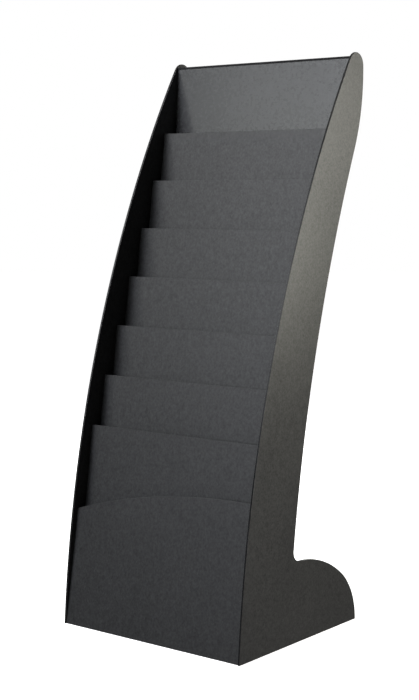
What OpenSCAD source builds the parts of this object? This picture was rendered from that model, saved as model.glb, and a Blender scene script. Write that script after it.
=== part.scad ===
// Floor-standing brochure rack: two curved side panels carry seven straight
// pocket fronts, one arched front panel and eight shelves. The sheets end in
// shallow grooves in the side panels.
// Frame: +X to the right as seen from the front, front towards -Y, +Z up.
// Origin: centre of the footprint box, at floor level. Lengths in millimetres.

/* [Cabinet] */
// Width over the outside faces of the two side panels
body_w = 450; // [430:5:470]
// Thickness of each side panel
side_t = 4.5; // [4:0.5:6]
// Thickness of the pocket fronts, shelves, covers and base
sheet_t = 3; // [2.5:0.25:3]
// Depth of the grooves that hold the ends of the sheets
groove_d = 1.5; // [1:0.25:2]
// Thickness of the cap over the head
cap_t = 4; // [3:0.5:5]
// Height of the base panel's underside above the floor
base_gap = 3; // [2:0.5:4]

/* [Pockets] */
// Height from one pocket's top edge to the next one's
pocket_rise = 100.3; // [98:0.1:100.5]
// Distance that each pocket stands behind the one below it
pocket_step = 39.2; // [38.8:0.1:39.6]
// Backward lean of the pocket fronts, in degrees
pocket_lean = 8; // [7.6:0.1:8.4]
// Depth of each pocket, from its front's top edge down to its shelf
pocket_depth = 192; // [170:1:194]
// Backward lean of the arched front panel, in degrees
front_lean = 9; // [8.6:0.1:9.2]
// Height of the arched front panel at its crown, measured along the panel
front_h = 301.5; // [290:0.5:306]
// Radius of the arched front panel's top edge
front_arch_r = 1300; // [1200:10:1500]
// Distance of the arch's crown to the right of the middle
front_arch_x = 183; // [150:1:190]

/* [Side outline] */
// Radius of the long front edge
front_r = 2520; // [2510:1:2530]
// Radius of the round top
head_r = 25.5; // [23:0.5:27]
// Radius of the shoulder behind the head
shoulder_r = 405; // [400:1:410]
// Radius of the hollow rear edge
waist_r = 3010; // [3000:1:3020]
// Radius of the fillet between the rear edge and the foot
notch_r = 20; // [16:1:24]
// Radius of the top of the foot
foot_r = 263.5; // [256:0.5:264]
// Radius of the heel, down to the floor
heel_r = 136.5; // [134:0.5:138]

/* [Hidden] */
$fn = 64;

// Running clearance round the sheets in their grooves, and between sheets
gap = 0.15;

// ---- Side outline, in the plane of a side panel -------------------------
// Points are [y, z]: y back from the front corner at the floor, z up. The
// outline is a chain of arcs, each tangent to the next.
front_cz = -164;                               // height of the front arc's centre
front_c = [sqrt(front_r*front_r - front_cz*front_cz), front_cz];
head_a = 31.235;                               // slope at which the front edge meets the head
head_c = front_c + (front_r - head_r)*[-cos(head_a), sin(head_a)];
shoulder_a = 2.2;
shoulder_c = head_c - (shoulder_r - head_r)*[cos(shoulder_a), sin(shoulder_a)];
waist_a = 22.25;                               // slope where the shoulder turns hollow
waist_c = shoulder_c + (shoulder_r + waist_r)*[cos(waist_a), -sin(waist_a)];
heel_c = [261, 0];
heel_a = 52.7;
foot_c = heel_c - (foot_r - heel_r)*[cos(heel_a), sin(heel_a)];
// The notch circle touches the rear edge from inside and the foot from outside
cw = waist_c - foot_c;
cw_l = norm(cw);
cw_u = cw/cw_l;
notch_s = (pow(foot_r + notch_r, 2) - pow(waist_r - notch_r, 2) + cw_l*cw_l)/(2*cw_l);
notch_h = sqrt(pow(foot_r + notch_r, 2) - notch_s*notch_s);
notch_c = foot_c + notch_s*cw_u + notch_h*[-cw_u[1], cw_u[0]];

depth = shoulder_c[0] + shoulder_r;            // overall depth
height = head_c[1] + head_r;                   // overall height

function ang(v) = atan2(v[1], v[0]);
function arc(c, r, a0, a1, n) =
    [for (i = [0:n]) c + r*[cos(a0 + (a1 - a0)*i/n), sin(a0 + (a1 - a0)*i/n)]];
function rev(v) = [for (i = [len(v) - 1:-1:0]) v[i]];
// Angle, on the left half of a circle, at which it passes height z
function left_at(c, r, z) = 180 - asin((z - c[1])/r);
// Angle, on the right half of a circle, at which it passes height z
function right_at(c, r, z) = asin((z - c[1])/r);

notch_a0 = ang(notch_c - waist_c);
notch_a1 = 360 + ang(foot_c - notch_c);
side_outline = concat(
    arc(front_c, front_r, left_at(front_c, front_r, 0), 180 - head_a, 72),
    arc(head_c, head_r, 180 - head_a - 6, shoulder_a, 26),
    arc(shoulder_c, shoulder_r, shoulder_a - 1, -waist_a, 20),
    arc(waist_c, waist_r, 180 - waist_a + 0.2, notch_a0, 56),
    arc(notch_c, notch_r, notch_a0 + 6, notch_a1, 16),
    arc(foot_c, foot_r, ang(notch_c - foot_c) - 1, heel_a, 16),
    arc(heel_c, heel_r, heel_a - 2, 0, 24));

// ---- Derived sizes -------------------------------------------------------
in_w = body_w - 2*side_t;                      // clear width between the side panels
sheet_w = in_w + 2*(groove_d - gap);           // length of the sheets, ends in the grooves
cap_top = height - 8.5;
cap_z = cap_top - cap_t;

// Pocket fronts: number 1 is the highest, number 8 is the arched panel's pocket
top_y = 319.4;
top_z = 1004;
function pocket_top(k) = [top_y - (k - 1)*pocket_step, top_z - (k - 1)*pocket_rise];
lean_u = [sin(pocket_lean), cos(pocket_lean)]; // up along a pocket front
lean_n = [cos(pocket_lean), -sin(pocket_lean)];// square to it, backwards
pitch_n = [pocket_step, pocket_rise]*lean_n;   // spacing of the fronts, square to them
pitch_u = [pocket_step, pocket_rise]*lean_u;
front_len = pitch_u + pocket_depth + sheet_t + 1;

// Back panel
back_lean = 3.3;
back_y = 365.9;
back_z0 = 926;
back_len = (cap_z - gap - back_z0)/cos(back_lean);

// Arched front panel: face y = front_set + z*tan(front_lean)
front_set = 1.5;
front_s0 = sheet_t*tan(front_lean);            // keeps the lower edge above the floor
function arch_s(x) = front_h - front_arch_r + sqrt(pow(front_arch_r, 2) - pow(x - front_arch_x, 2));

// Curved covers lie inside the edges of the side panels: the rear one just so,
// the one over the foot well down between them
inset = 1;
foot_inset = 12;
function rear_curve(e, z0, z1) = concat(
    arc(shoulder_c, shoulder_r - e, right_at(shoulder_c, shoulder_r - e, z1), -waist_a, 16),
    arc(waist_c, waist_r + e, 180 - waist_a + 0.3, left_at(waist_c, waist_r + e, z0), 48));
function foot_curve(e, y0, z1) = concat(
    arc(foot_c, foot_r - e, acos((y0 - foot_c[0])/(foot_r - e)), heel_a, 16),
    arc(heel_c, heel_r - e, heel_a - 2.5, right_at(heel_c, heel_r - e, z1), 20));
foot_y0 = 150;                                 // front end of the foot cover
cover_y = waist_c[0] - sqrt(pow(waist_r + inset, 2) - pow(150 - waist_c[1], 2));
cover_z0 = foot_c[1] + sqrt(pow(foot_r - foot_inset, 2) - pow(cover_y - foot_c[0], 2)) + 2*gap;

// Shelves: local x from the pocket front's face, where each one starts and ends
shelf_q = pocket_top(1) - pocket_depth*lean_u - waist_c;
shelf_1_end = -(shelf_q*lean_n)
    - sqrt(pow(shelf_q*lean_n, 2) - shelf_q*shelf_q + pow(waist_r + inset + sheet_t, 2)) - 1.2;
shelf_8_p = pocket_top(8) - pocket_depth*lean_u;
shelf_8_start = (front_set + sheet_t/cos(front_lean) + shelf_8_p[1]*tan(front_lean) - shelf_8_p[0])
    /(lean_n[0] - lean_n[1]*tan(front_lean)) + gap;
function shelf_x0(k) = k == 8 ? shelf_8_start : sheet_t + gap;
function shelf_x1(k) = k == 1 ? shelf_1_end : pitch_n - gap;

// Base: runs from the arched front panel to the inside of the heel
base_y0 = front_set + (base_gap + sheet_t)*tan(front_lean) + sheet_t/cos(front_lean) + gap;
base_y1 = heel_c[0] + sqrt(pow(heel_r - foot_inset - sheet_t, 2) - pow(base_gap + sheet_t, 2)) - gap;

// Blocks in the corners, and the screws that hold the base to them
block = 18;
block_h = 16;
block_x = in_w/2 - block/2 - gap;
block_ys = [base_y0 + block/2 + 6, base_y1 - block/2 - 14];
head_block_y = back_y + sheet_t + 3 + block/2;
screw_r = 2;
screw_head_r = 4;
screw_l = 14;
pad_r = 12;
pad_x = in_w/2 - 34;
pad_ys = [base_y0 + 24, base_y1 - 30];

// ---- Placing helpers -----------------------------------------------------
// Moves from the outline's corner to the part's own origin
module place() translate([0, -depth/2, 0]) children();
// Extrudes a [y, z] profile along X, from x0 to x1
module span(x0, x1) translate([x0, 0, 0]) rotate([90, 0, 90]) linear_extrude(x1 - x0) children();
// Plane of a pocket front: x backwards from its face, y up from its top edge
module on_pocket(k) translate(pocket_top(k)) rotate(-pocket_lean) children();

// ---- Profiles in the [y, z] plane; g grows them into a groove ------------
module front_2d(k, g = 0)
    on_pocket(k) translate([-g, -front_len - g]) square([sheet_t + 2*g, front_len + 2*g]);
module shelf_2d(k, g = 0)
    on_pocket(k) translate([shelf_x0(k) - g, -pocket_depth - sheet_t - g])
        square([shelf_x1(k) - shelf_x0(k) + 2*g, sheet_t + 2*g]);
module back_2d(g = 0)
    translate([back_y, cap_z - gap]) rotate(-back_lean)
        translate([-g, -back_len - g]) square([sheet_t + 2*g, back_len + 2*g]);
module rear_2d(g = 0)
    polygon(concat(rear_curve(inset - g, cover_z0 - g, cap_z - gap + g),
                   rev(rear_curve(inset + sheet_t + g, cover_z0 - g, cap_z - gap + g))));
module foot_2d(g = 0)
    polygon(concat(foot_curve(foot_inset - g, foot_y0 - g, 1 - g),
                   rev(foot_curve(foot_inset + sheet_t + g, foot_y0 - g, 1 - g))));
module base_2d(g = 0)
    translate([base_y0 - g, base_gap - g]) square([base_y1 - base_y0 + 2*g, sheet_t + 2*g]);
module cap_2d(g = 0)
    polygon([[back_y - 1 - g, cap_z - g],
             [shoulder_c[0] + sqrt(pow(shoulder_r - inset + g, 2) - pow(cap_z - shoulder_c[1], 2)), cap_z - g],
             [shoulder_c[0] + sqrt(pow(shoulder_r - inset + g, 2) - pow(cap_top - shoulder_c[1], 2)), cap_top + g],
             [back_y - 1 - g, cap_top + g]]);
// Groove for one end of the arched front panel, up to height s along it
module arched_groove_2d(s)
    translate([front_set, 0]) rotate(-front_lean)
        translate([-gap, -6]) square([sheet_t + 2*gap, s + 6 + gap]);

// ---- Side panels ---------------------------------------------------------
// A flat panel between x0 and x1, with the grooves open at gx
module side(x0, x1, gx0, gx1, arch_end) {
    difference() {
        span(x0, x1) polygon(side_outline);
        span(gx0, gx1) for (k = [1:7]) front_2d(k, gap);
        span(gx0, gx1) for (k = [1:8]) shelf_2d(k, gap);
        span(gx0, gx1) back_2d(gap);
        span(gx0, gx1) arched_groove_2d(arch_end);
        span(gx0, gx1) base_2d(gap);
        span(gx0, gx1) cap_2d(gap);
        span(gx0, gx1) rear_2d(gap);
        span(gx0, gx1) foot_2d(gap);
    }
}
module left_side_panel() color([0.10, 0.10, 0.10])
    place() side(-body_w/2, -in_w/2, -in_w/2 - groove_d, -in_w/2 + 1, arch_s(-in_w/2));
module right_side_panel() color([0.12, 0.115, 0.11])
    place() side(in_w/2, body_w/2, in_w/2 - 1, in_w/2 + groove_d, arch_s(in_w/2));

// ---- Sheets between the side panels ---------------------------------------
module back_panel() color([0.16, 0.16, 0.165])
    place() span(-sheet_w/2, sheet_w/2) back_2d();
module pocket_front(k) color([0.14, 0.14, 0.145])
    place() span(-sheet_w/2, sheet_w/2) front_2d(k);
module pocket_shelf(k) color([0.11, 0.11, 0.11])
    place() span(-sheet_w/2, sheet_w/2) shelf_2d(k);
// The front panel's top edge is one long arc, higher on the right
module arched_front_panel() color([0.13, 0.13, 0.135])
    place() translate([0, front_set, 0]) rotate([90 - front_lean, 0, 0]) translate([0, 0, -sheet_t])
        linear_extrude(sheet_t) polygon(concat(
            [[-sheet_w/2, front_s0], [sheet_w/2, front_s0]],
            [for (i = [60:-1:0]) let (x = -sheet_w/2 + sheet_w*i/60) [x, arch_s(x)]]));
module top_cap() color([0.10, 0.10, 0.10])
    place() span(-sheet_w/2, sheet_w/2) cap_2d();

// ---- Rear, foot and base ---------------------------------------------------
module rear_cover() color([0.12, 0.12, 0.12])
    place() span(-sheet_w/2, sheet_w/2) rear_2d();
module foot_cover() color([0.12, 0.12, 0.12])
    place() span(-sheet_w/2, sheet_w/2) foot_2d();
module base_panel() color([0.10, 0.10, 0.10])
    place() difference() {
        span(-sheet_w/2, sheet_w/2) base_2d();
        for (x = [-block_x, block_x], y = block_ys) translate([x, y, base_gap]) {
            translate([0, 0, -1]) cylinder(r = screw_r + 0.2, h = sheet_t + 2);
            translate([0, 0, -0.01]) cylinder(r1 = screw_head_r + 0.1, r2 = screw_r + 0.2, h = screw_head_r - screw_r);
        }
    }

// ---- Small parts -----------------------------------------------------------
// Four drilled blocks stand on the base and two hold up the cap
module corner_blocks() color([0.08, 0.08, 0.08]) place() {
    for (x = [-block_x, block_x], y = block_ys) translate([x, y, base_gap + sheet_t + gap])
        difference() {
            translate([-block/2, -block/2, 0]) cube([block, block, block_h]);
            translate([0, 0, -1]) cylinder(r = screw_r + 0.1, h = screw_l);
        }
    for (x = [-block_x, block_x]) translate([x - block/2, head_block_y - block/2, cap_z - gap - block_h])
        cube([block, block, block_h]);
}
// Countersunk screws, driven up from under the base
module base_screws() color([0.75, 0.75, 0.77]) place()
    for (x = [-block_x, block_x], y = block_ys) translate([x, y, base_gap + 0.05])
        difference() {
            rotate_extrude() polygon([[0, 0], [screw_head_r, 0], [screw_r, screw_head_r - screw_r],
                                      [screw_r, screw_l - 3], [0.4, screw_l - 1.4], [0, screw_l - 1.4]]);
            for (a = [0, 90]) rotate(a) translate([-2.2, -0.45, -1]) cube([4.4, 0.9, 2.2]);
        }
module floor_pads() color([0.06, 0.06, 0.06]) place()
    for (x = [-pad_x, pad_x], y = pad_ys) translate([x, y, 0]) cylinder(r = pad_r, h = base_gap);

left_side_panel();
right_side_panel();
back_panel();
pocket_front(1);  // pocket_front_1
pocket_front(2);  // pocket_front_2
pocket_front(3);  // pocket_front_3
pocket_front(4);  // pocket_front_4
pocket_front(5);  // pocket_front_5
pocket_front(6);  // pocket_front_6
pocket_front(7);  // pocket_front_7
arched_front_panel();
pocket_shelf(1);  // pocket_shelf_1
pocket_shelf(2);  // pocket_shelf_2
pocket_shelf(3);  // pocket_shelf_3
pocket_shelf(4);  // pocket_shelf_4
pocket_shelf(5);  // pocket_shelf_5
pocket_shelf(6);  // pocket_shelf_6
pocket_shelf(7);  // pocket_shelf_7
pocket_shelf(8);  // pocket_shelf_8
top_cap();
rear_cover();
foot_cover();
base_panel();
corner_blocks();
base_screws();
floor_pads();
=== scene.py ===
import math
import bmesh
import bpy
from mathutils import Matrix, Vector


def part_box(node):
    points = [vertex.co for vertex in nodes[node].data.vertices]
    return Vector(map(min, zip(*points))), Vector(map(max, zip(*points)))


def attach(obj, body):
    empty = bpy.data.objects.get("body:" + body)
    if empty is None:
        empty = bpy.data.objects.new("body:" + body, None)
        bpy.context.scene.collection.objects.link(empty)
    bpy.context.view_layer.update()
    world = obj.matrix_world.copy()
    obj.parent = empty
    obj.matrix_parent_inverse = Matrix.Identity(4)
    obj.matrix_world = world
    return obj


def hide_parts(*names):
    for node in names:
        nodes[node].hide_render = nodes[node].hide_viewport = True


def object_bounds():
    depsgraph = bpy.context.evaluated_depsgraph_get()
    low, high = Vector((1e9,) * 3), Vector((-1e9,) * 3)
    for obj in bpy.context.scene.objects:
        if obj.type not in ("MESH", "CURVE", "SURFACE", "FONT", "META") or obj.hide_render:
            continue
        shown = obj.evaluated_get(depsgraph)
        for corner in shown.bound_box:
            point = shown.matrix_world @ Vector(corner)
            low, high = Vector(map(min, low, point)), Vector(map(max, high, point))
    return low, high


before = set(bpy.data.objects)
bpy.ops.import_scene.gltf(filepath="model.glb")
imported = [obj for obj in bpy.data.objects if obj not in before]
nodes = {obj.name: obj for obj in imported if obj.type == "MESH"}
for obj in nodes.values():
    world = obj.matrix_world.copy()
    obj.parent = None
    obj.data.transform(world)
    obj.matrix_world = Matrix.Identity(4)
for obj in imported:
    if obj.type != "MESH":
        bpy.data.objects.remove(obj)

cad_lo, cad_hi = [Vector(v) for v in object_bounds()]
scene = bpy.context.scene

# ---------------------------------------------------------------- camera
# The photo's viewing angle: from the rack's right, a little below its head, looking slightly down.
cam_data = bpy.data.cameras.new("camera")
cam_data.sensor_width = 36.0
cam_data.lens = 1471.48 * 36.0 / 700.0
cam_data.clip_end = 60
cam = bpy.data.objects.new("camera", cam_data)
scene.collection.objects.link(cam)
cam.location = (1.8305, cad_lo.y - 2.1261, 0.8716)
cam.rotation_euler = (math.radians(90 - 5.9833), 0, math.radians(38.2551))
scene.camera = cam
scene.view_settings.view_transform = "Standard"


# ---------------------------------------------------------------- materials
class Tree:
    """Small helper that adds nodes and links them."""

    def __init__(self, name):
        self.mat = bpy.data.materials.new(name)
        self.mat.use_nodes = True
        self.nt = self.mat.node_tree
        self.nt.nodes.clear()
        self.out = self.nt.nodes.new("ShaderNodeOutputMaterial")

    def add(self, kind, inputs=None, **props):
        n = self.nt.nodes.new(kind)
        for k, v in props.items():
            setattr(n, k, v)
        for k, v in (inputs or {}).items():
            if isinstance(v, bpy.types.NodeSocket):
                self.nt.links.new(v, n.inputs[k])
            else:
                n.inputs[k].default_value = v
        return n

    def math(self, op, a, b=0.0, c=0.0, clamp=False):
        n = self.nt.nodes.new("ShaderNodeMath")
        n.operation = op
        n.use_clamp = clamp
        for i, v in enumerate((a, b, c)):
            if isinstance(v, bpy.types.NodeSocket):
                self.nt.links.new(v, n.inputs[i])
            elif i < len(n.inputs):
                n.inputs[i].default_value = v
        return n.outputs[0]

    def ramp(self, value, lo, hi, out_lo=0.0, out_hi=1.0):
        n = self.add("ShaderNodeMapRange", {"Value": value, "From Min": lo, "From Max": hi,
                                            "To Min": out_lo, "To Max": out_hi})
        n.clamp = True
        return n.outputs[0]

    def mix(self, fac, a, b):
        n = self.nt.nodes.new("ShaderNodeMix")
        n.data_type = "RGBA"
        for sock, v in ((n.inputs[0], fac), (n.inputs[6], a), (n.inputs[7], b)):
            if isinstance(v, bpy.types.NodeSocket):
                self.nt.links.new(v, sock)
            else:
                sock.default_value = v if not isinstance(v, tuple) else (*v, 1.0)
        return n.outputs[2]


def grained(name, face, cell, base=(0.0145, 0.0148, 0.0153), rough=0.49, tone=1.05, contrast=0.97, rim=(0.35, 0.75),
            painted_highlight_height=None, relief=0.00010):
    """Black sheet plastic with a fine pressed grain, drawn out along the sheet.

    face: unit normal of the sheet's two grained faces; every other face is a sawn edge.
    cell: size of one grain along X, Y and Z, in millimetres.
    rim: how far round its edge the sheet keeps its grained finish, as cosines from the face.
    relief: depth of the grain, in metres.
    rub: height at which the sawn edge carries a painted highlight, a lighter edge colour, and is also made shinier,
    in metres.
    """
    t = Tree(name)
    co = t.add("ShaderNodeTexCoord").outputs["Object"]

    def scaled(k, off=(0.0, 0.0, 0.0)):
        m = t.add("ShaderNodeMapping", {"Vector": co})
        m.inputs["Scale"].default_value = [1000.0 / (v * k) for v in cell]
        m.inputs["Location"].default_value = off
        return m.outputs[0]

    fine = t.add("ShaderNodeTexNoise", {"Vector": scaled(1.0), "Scale": 1.0, "Detail": 2.0, "Roughness": 0.55}).outputs[0]
    tiny = t.add("ShaderNodeTexNoise", {"Vector": scaled(0.35, (4.0, 6.0, 8.0)), "Scale": 1.0, "Detail": 2.0}).outputs[0]
    cells = t.add("ShaderNodeTexVoronoi", {"Vector": scaled(0.9, (3.1, 7.7, 1.9)), "Scale": 1.0, "Randomness": 1.0},
                  feature="DISTANCE_TO_EDGE").outputs["Distance"]
    mottle = t.add("ShaderNodeTexNoise", {"Vector": scaled(2.4, (11.0, 5.0, 2.0)), "Scale": 1.0, "Detail": 2.0,
                                          "Roughness": 0.55}).outputs[0]
    cloud = t.add("ShaderNodeTexNoise", {"Vector": co, "Scale": 7.0, "Detail": 3.0, "Roughness": 0.5}).outputs[0]

    ridges = t.ramp(cells, 0.0, 0.30)
    height = t.math("ADD", t.math("MULTIPLY", fine, 0.9), t.math("MULTIPLY", ridges, 0.25))
    height = t.math("ADD", height, t.math("MULTIPLY", tiny, 0.25))
    height = t.math("ADD", height, t.math("MULTIPLY", mottle, 0.40))

    # sawn edge mask from the surface's own direction
    nrm = t.add("ShaderNodeNewGeometry").outputs["Normal"]
    dot = t.add("ShaderNodeVectorMath", {0: nrm, 1: face}, operation="DOT_PRODUCT").outputs["Value"]
    edge = t.ramp(t.math("ABSOLUTE", dot), rim[0], rim[1], 1.0, 0.0)
    saw_map = t.add("ShaderNodeMapping", {"Vector": co})
    saw_map.inputs["Scale"].default_value = (900.0, 900.0, 900.0)
    saw = t.add("ShaderNodeTexNoise", {"Vector": saw_map.outputs[0], "Scale": 1.0, "Detail": 2.0}).outputs[0]

    height = t.math("ADD", t.math("MULTIPLY", height, t.math("SUBTRACT", 1.0, edge)),
                    t.math("MULTIPLY", t.math("MULTIPLY", saw, edge), 0.5))
    bump = t.add("ShaderNodeBump", {"Height": height, "Strength": 1.0, "Distance": relief})

    # the grain's peaks catch more light than its hollows: one signed value, about -1 to 1
    grain = t.math("ADD", t.math("MULTIPLY", t.math("SUBTRACT", fine, 0.5), 3.2),
                   t.math("MULTIPLY", t.math("SUBTRACT", mottle, 0.5), 1.6))
    grain = t.math("ADD", grain, t.math("MULTIPLY", t.math("SUBTRACT", ridges, 0.7), 0.35))
    grain = t.math("ADD", grain, t.math("MULTIPLY", t.math("SUBTRACT", cloud, 0.5), 0.5))
    gain = t.math("ADD", 1.0, t.math("MULTIPLY", grain, 0.24 * contrast))

    scale_col = t.add("ShaderNodeVectorMath", {0: base}, operation="SCALE")
    t.nt.links.new(gain, scale_col.inputs["Scale"])
    # painted highlight on the sawn edge: a lighter edge colour, with more specular too, around the height rub;
    # without rub, one even blend
    if painted_highlight_height is None:
        polish_and_painted_highlight = 0.35
    else:
        high = t.add("ShaderNodeSeparateXYZ", {0: co}).outputs["Z"]
        polish_and_painted_highlight = t.ramp(t.math("ABSOLUTE", t.math("SUBTRACT", high, painted_highlight_height)), 0.05, 0.32, 1.0, 0.0)
    sawn = t.mix(polish_and_painted_highlight, (0.0105, 0.0105, 0.0108), (0.028, 0.028, 0.0285))
    col = t.mix(edge, scale_col.outputs[0], sawn)
    worn = t.math("MULTIPLY", t.math("MULTIPLY", edge, t.ramp(saw, 0.52, 0.75)), 0.45)
    col = t.mix(worn, col, (0.045, 0.045, 0.046))

    r = t.math("ADD", rough - 0.02, t.math("MULTIPLY", t.ramp(mottle, 0.3, 0.7), 0.04))
    r = t.math("ADD", r, t.math("MULTIPLY", t.math("SUBTRACT", cloud, 0.5), 0.08))
    r = t.math("ADD", r, t.math("MULTIPLY", edge, 0.20))
    dull = t.math("SUBTRACT", 0.92, t.math("MULTIPLY", polish_and_painted_highlight, 0.45))
    spec = t.math("MULTIPLY", t.math("SUBTRACT", 1.0, t.math("MULTIPLY", edge, dull)), 0.5 * tone)
    spec = t.math("MULTIPLY", spec, gain)
    p = t.add("ShaderNodeBsdfPrincipled", {"Base Color": col, "Roughness": r, "Specular IOR Level": spec,
                                           "IOR": 1.5, "Normal": bump.outputs[0]})
    t.nt.links.new(p.outputs[0], t.out.inputs["Surface"])
    return t.mat


def lean(deg):
    return (0.0, -math.cos(math.radians(deg)), math.sin(math.radians(deg)))


SHEET = (4.3, 12.0, 5.2)
m_pocket = grained("grained_sheet", lean(8.0), SHEET)
m_head = grained("grained_head", lean(3.3), (2.9, 12.0, 2.6), base=(0.040, 0.041, 0.043), rough=0.28, tone=0.97, contrast=1.0,
                relief=0.00005)
m_arch = grained("grained_front", lean(9.0), SHEET, tone=1.00)
# side panels: a painted highlight, a lighter sawn front edge, around 0.66 m up
m_side = grained("grained_side", (1.0, 0.0, 0.0), (12.0, 4.6, 4.2), base=(0.0150, 0.0146, 0.0136), rough=0.41, tone=1.19, contrast=1.15,
                rim=(0.05, 0.35), painted_highlight_height=0.66)
m_shelf = grained("grained_shelf", (0.0, math.sin(math.radians(8)), math.cos(math.radians(8))), (1.7, 3.2, 12.0))
m_flat = grained("grained_flat", (0.0, 0.0, 1.0), (1.7, 3.2, 12.0), rough=0.60, tone=0.40)


def grained_curved(name):
    """The same grain on the bent covers, whose sawn ends face along X."""
    m = grained(name, (0.0, 0.0, 1.0), (1.7, 3.0, 3.0))
    nt = m.node_tree
    for n in nt.nodes:
        if n.type == "VECT_MATH" and n.operation == "DOT_PRODUCT":
            n.inputs[1].default_value = (1.0, 0.0, 0.0)
            absn = n.outputs["Value"].links[0].to_node
            rng = absn.outputs[0].links[0].to_node
            rng.inputs["To Min"].default_value = 0.0
            rng.inputs["To Max"].default_value = 1.0
    return m


m_cover = grained_curved("grained_cover")


def moulded(name, base, rough, grain=0.6, metal=0.0):
    t = Tree(name)
    co = t.add("ShaderNodeTexCoord").outputs["Object"]
    m = t.add("ShaderNodeMapping", {"Vector": co})
    m.inputs["Scale"].default_value = (1000.0 / grain,) * 3
    n = t.add("ShaderNodeTexNoise", {"Vector": m.outputs[0], "Scale": 1.0, "Detail": 3.0}).outputs[0]
    c = t.add("ShaderNodeTexNoise", {"Vector": co, "Scale": 60.0, "Detail": 2.0}).outputs[0]
    col = t.mix(t.ramp(c, 0.35, 0.65), tuple(v * 0.8 for v in base), tuple(min(1.0, v * 1.25) for v in base))
    bump = t.add("ShaderNodeBump", {"Height": n, "Strength": 1.0, "Distance": 0.00004})
    r = t.math("ADD", rough - 0.06, t.math("MULTIPLY", c, 0.12))
    p = t.add("ShaderNodeBsdfPrincipled", {"Base Color": col, "Roughness": r, "Metallic": metal,
                                           "Normal": bump.outputs[0]})
    t.nt.links.new(p.outputs[0], t.out.inputs["Surface"])
    return t.mat


m_block = moulded("moulded_block", (0.012, 0.012, 0.012), 0.5)
m_rubber = moulded("rubber_pad", (0.010, 0.010, 0.010), 0.8, 0.4)
m_screw = moulded("zinc_screw", (0.62, 0.62, 0.65), 0.32, 0.3, 1.0)

# ---------------------------------------------------------------- CAD nodes
finish_of = {"back_panel": m_head, "arched_front_panel": m_arch, "left_side_panel": m_side,
             "right_side_panel": m_side, "top_cap": m_flat, "base_panel": m_flat, "rear_cover": m_cover,
             "foot_cover": m_cover, "corner_blocks": m_block, "base_screws": m_screw, "floor_pads": m_rubber}
for i in range(1, 8):
    finish_of[f"pocket_front_{i}"] = m_pocket
for i in range(1, 9):
    finish_of[f"pocket_shelf_{i}"] = m_shelf

for name, obj in nodes.items():
    obj.data.materials.clear()
    obj.data.materials.append(finish_of[name])


def soften(obj, width, segments=2):
    """Rounds the sharp edges a little, with modifiers only."""
    me = obj.data
    if "custom_normal" in me.attributes:
        me.attributes.remove(me.attributes["custom_normal"])
    me.polygons.foreach_set("use_smooth", [True] * len(me.polygons))
    w = obj.modifiers.new("weld", "WELD")
    w.merge_threshold = 1e-5
    b = obj.modifiers.new("bevel", "BEVEL")
    b.width = width
    b.segments = segments
    b.limit_method = "ANGLE"
    b.angle_limit = math.radians(30)
    n = obj.modifiers.new("normals", "WEIGHTED_NORMAL")
    n.mode = "FACE_AREA"
    n.weight = 80
    n.keep_sharp = False


for name, obj in nodes.items():
    if name.startswith("pocket_front") or name == "arched_front_panel":
        soften(obj, 0.0008, 3)
    elif name.startswith("pocket_") or name in ("back_panel", "top_cap"):
        soften(obj, 0.0004)


def outline_of(name, x):
    """The outline of a side panel's outer face, as points (y, z), in order."""
    bm = bmesh.new()
    bm.from_mesh(nodes[name].data)
    bmesh.ops.remove_doubles(bm, verts=bm.verts, dist=1e-6)
    keep = [f for f in bm.faces if abs(f.normal.x) > 0.99 and all(abs(v.co.x - x) < 1e-5 for v in f.verts)]
    keep_set = set(keep)
    edges = [e for f in keep for e in f.edges if sum(g in keep_set for g in e.link_faces) == 1]
    after = {}
    for e in set(edges):
        a, b = e.verts
        after.setdefault(a, []).append(b)
        after.setdefault(b, []).append(a)
    start = min(after, key=lambda v: (round(v.co.z, 5), v.co.y))
    loop, prev, cur = [start], None, start
    while True:
        nxt = [v for v in after[cur] if v is not prev]
        step = nxt[0] if prev is not None else max(nxt, key=lambda v: v.co.z)
        if step is start:
            break
        loop.append(step)
        prev, cur = cur, step
    pts = [(v.co.y, v.co.z) for v in loop]
    bm.free()
    return pts


def side_panel(name, x_out, x_in):
    """A side panel with its edges rounded: outer and inner face, and a rim of narrow strips."""
    pts = outline_of(name, x_out)
    bm = bmesh.new()
    a = [bm.verts.new((x_out, y, z)) for y, z in pts]
    b = [bm.verts.new((x_in, y, z)) for y, z in pts]
    fa, fb = bm.faces.new(a), bm.faces.new(list(reversed(b)))
    n = len(pts)
    for i in range(n):
        bm.faces.new((a[i], b[i], b[(i + 1) % n], a[(i + 1) % n]))
    bmesh.ops.recalc_face_normals(bm, faces=bm.faces)
    rim = [e for e in list(fa.edges) + list(fb.edges)]
    corners = [e for e in bm.edges if e.calc_face_angle(0) > math.radians(40) and e not in set(rim)]
    bmesh.ops.bevel(bm, geom=rim + corners, offset=0.0010, segments=4, profile=0.5, affect="EDGES",
                    clamp_overlap=False)
    me = bpy.data.meshes.new(name + "_shell")
    bm.to_mesh(me)
    bm.free()
    me.polygons.foreach_set("use_smooth", [True] * len(me.polygons))
    ob = bpy.data.objects.new(name + "_shell", me)
    scene.collection.objects.link(ob)
    w = ob.modifiers.new("normals", "WEIGHTED_NORMAL")
    w.mode = "FACE_AREA"
    w.weight = 80
    me.materials.append(m_side)
    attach(ob, "root")
    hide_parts(name)
    return ob


sx0, sx1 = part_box("right_side_panel")[0].x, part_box("right_side_panel")[1].x
side_panel("right_side_panel", sx1, sx0)
side_panel("left_side_panel", -sx1, -sx0)

for name in ("rear_cover", "foot_cover"):
    soften(nodes[name], 0.0004)

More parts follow.
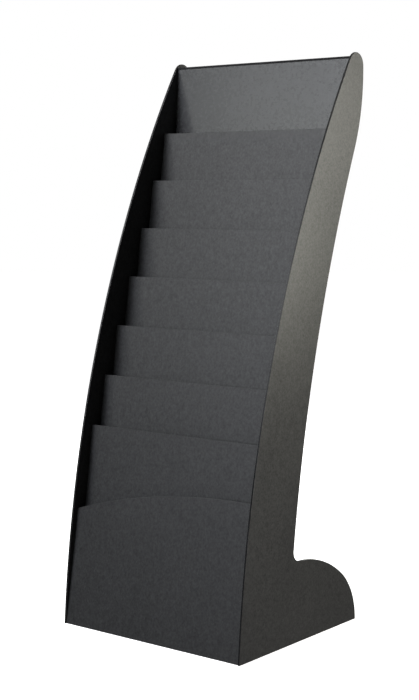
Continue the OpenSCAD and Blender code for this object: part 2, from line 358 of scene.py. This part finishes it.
# ---------------------------------------------------------------- floor and backdrop
t = Tree("studio_white")
d = t.add("ShaderNodeBsdfDiffuse", {"Color": (0.80, 0.80, 0.80, 1.0)})
far = t.add("ShaderNodeVectorMath", {0: t.add("ShaderNodeTexCoord").outputs["Object"]}, operation="LENGTH").outputs["Value"]
e = t.add("ShaderNodeEmission", {"Color": (1.0, 1.0, 1.0, 1.0), "Strength": t.ramp(far, 0.5, 2.2, 0.86, 1.02)})
both = t.add("ShaderNodeAddShader", {0: d.outputs[0], 1: e.outputs[0]})
t.nt.links.new(both.outputs[0], t.out.inputs["Surface"])

bm = bmesh.new()
centre = bm.verts.new((0.0, 0.0, -0.0002))
rim = [bm.verts.new((14.0 * math.cos(math.tau * i / 96), 14.0 * math.sin(math.tau * i / 96), -0.0002)) for i in range(96)]
for i in range(96):
    bm.faces.new((centre, rim[i], rim[(i + 1) % 96]))
me = bpy.data.meshes.new("studio_floor")
bm.to_mesh(me)
bm.free()
me.materials.append(t.mat)
floor = bpy.data.objects.new("studio_floor", me)
floor.visible_diffuse = False
floor.visible_glossy = False
scene.collection.objects.link(floor)


# ---------------------------------------------------------------- light
AIM = Vector((0.0, 0.0, 0.65))


def softbox(name, azimuth, elevation, distance, size, power, colour=(1.0, 1.0, 1.0)):
    """A square softbox aimed at the rack. Azimuth 0 is the rack's right (+X), 270 its front (-Y)."""
    data = bpy.data.lights.new(name, "AREA")
    data.shape = "SQUARE"
    data.size = size
    data.energy = power
    data.color = colour
    ob = bpy.data.objects.new(name, data)
    a, e_ = math.radians(azimuth), math.radians(elevation)
    way = Vector((math.cos(a) * math.cos(e_), math.sin(a) * math.cos(e_), math.sin(e_)))
    ob.location = AIM + way * distance
    ob.rotation_euler = (-way).to_track_quat("-Z", "Y").to_euler()
    ob.visible_camera = False
    scene.collection.objects.link(ob)
    return ob


LIGHTS = [
    ("key_top", 235, 50, 2.4, 0.8, 24.6, (0.973, 0.981, 1.0)),
    ("key_mid", 235, 32, 2.4, 0.8, 2.1, (0.90, 0.90, 1.0)),
    ("key_left", 235, 15, 2.4, 0.8, 6.7, (0.974, 1.0, 0.95)),
    ("key_front", 255, 15, 2.4, 0.8, 15.6, (0.887, 0.925, 1.0)),
    ("key_low", 255, 0, 2.4, 0.8, 7.1, (0.867, 0.901, 1.0)),
    ("key_high", 250, 62, 2.4, 0.8, 27.2, (0.973, 0.981, 1.0)),
    ("key_soft", 245, 40, 2.4, 0.8, 9.8, (0.973, 0.981, 1.0)),
    ("side_1", 10, -5, 2.4, 0.8, 22.0, (0.995, 1.0, 0.981)),
    ("side_2", 30, 5, 1.5, 0.4, 11.6, (1.0, 0.987, 0.877)),
    ("side_3", 40, 15, 2.4, 0.8, 2.6, (1.0, 0.998, 0.915)),
    ("side_4", 45, 20, 1.5, 0.4, 2.7, (1.0, 0.979, 0.892)),
    ("side_5", 52, 15, 2.4, 0.8, 1.4, (1.0, 0.992, 0.904)),
    ("fill_back", 115, 22, 2.8, 1.6, 30.0, (1.0, 1.0, 1.0)),
    ("fill_left", 178, 15, 2.8, 1.6, 24.0, (1.0, 1.0, 1.0)),
]
for row in LIGHTS:
    softbox(*row)

# light thrown back up by the pale floor
card = softbox("floor_bounce", 0, 0, 1.0, 5.0, 17.7, (1.0, 0.985, 0.989))
card.location = (0.0, 0.0, 0.001)
card.rotation_euler = (math.pi, 0.0, 0.0)

world = bpy.data.worlds.new("studio")
world.use_nodes = True
world.node_tree.nodes["Background"].inputs[0].default_value = (1.0, 1.0, 1.0, 1.0)
world.node_tree.nodes["Background"].inputs[1].default_value = 1.0
world.cycles_visibility.diffuse = False
world.cycles_visibility.glossy = False
scene.world = world
